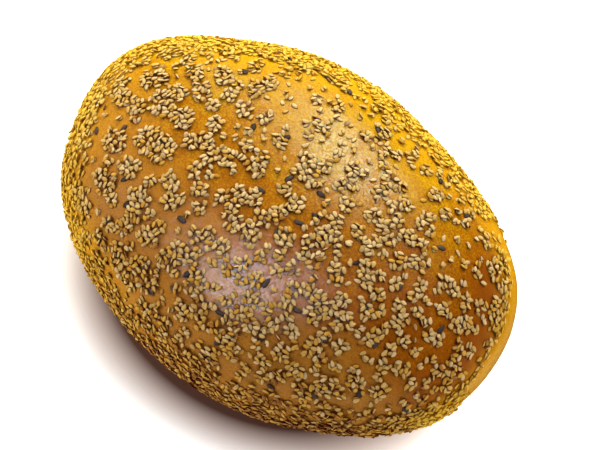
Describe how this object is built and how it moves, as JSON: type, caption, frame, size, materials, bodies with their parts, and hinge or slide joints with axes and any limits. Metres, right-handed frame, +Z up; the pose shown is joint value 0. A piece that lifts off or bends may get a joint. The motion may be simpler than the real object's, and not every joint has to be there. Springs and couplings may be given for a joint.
{
  "type": "seeded bread loaf",
  "caption": "Oval free-baked bread loaf with a smooth domed golden-brown crust, a flat base, and sesame seeds and linseeds baked onto the crust; it rests on its base.",
  "frame": {"origin": "on the flat base, under the middle of the loaf's outline", "axes": "+X along the loaf's length, +Y across it, +Z up from the base to the top of the dome"},
  "size_m": [0.2156, 0.1526, 0.0936],
  "materials": {
    "crust": "satin baked crust, golden yellow at the rim and orange-brown on top",
    "sesame": "hulled sesame seed, cream to toasted gold",
    "linseed": "whole linseed, dark brown and glossy"
  },
  "bodies": {
    "root": {"loaf": "crust"}
  },
  "joints": []
}
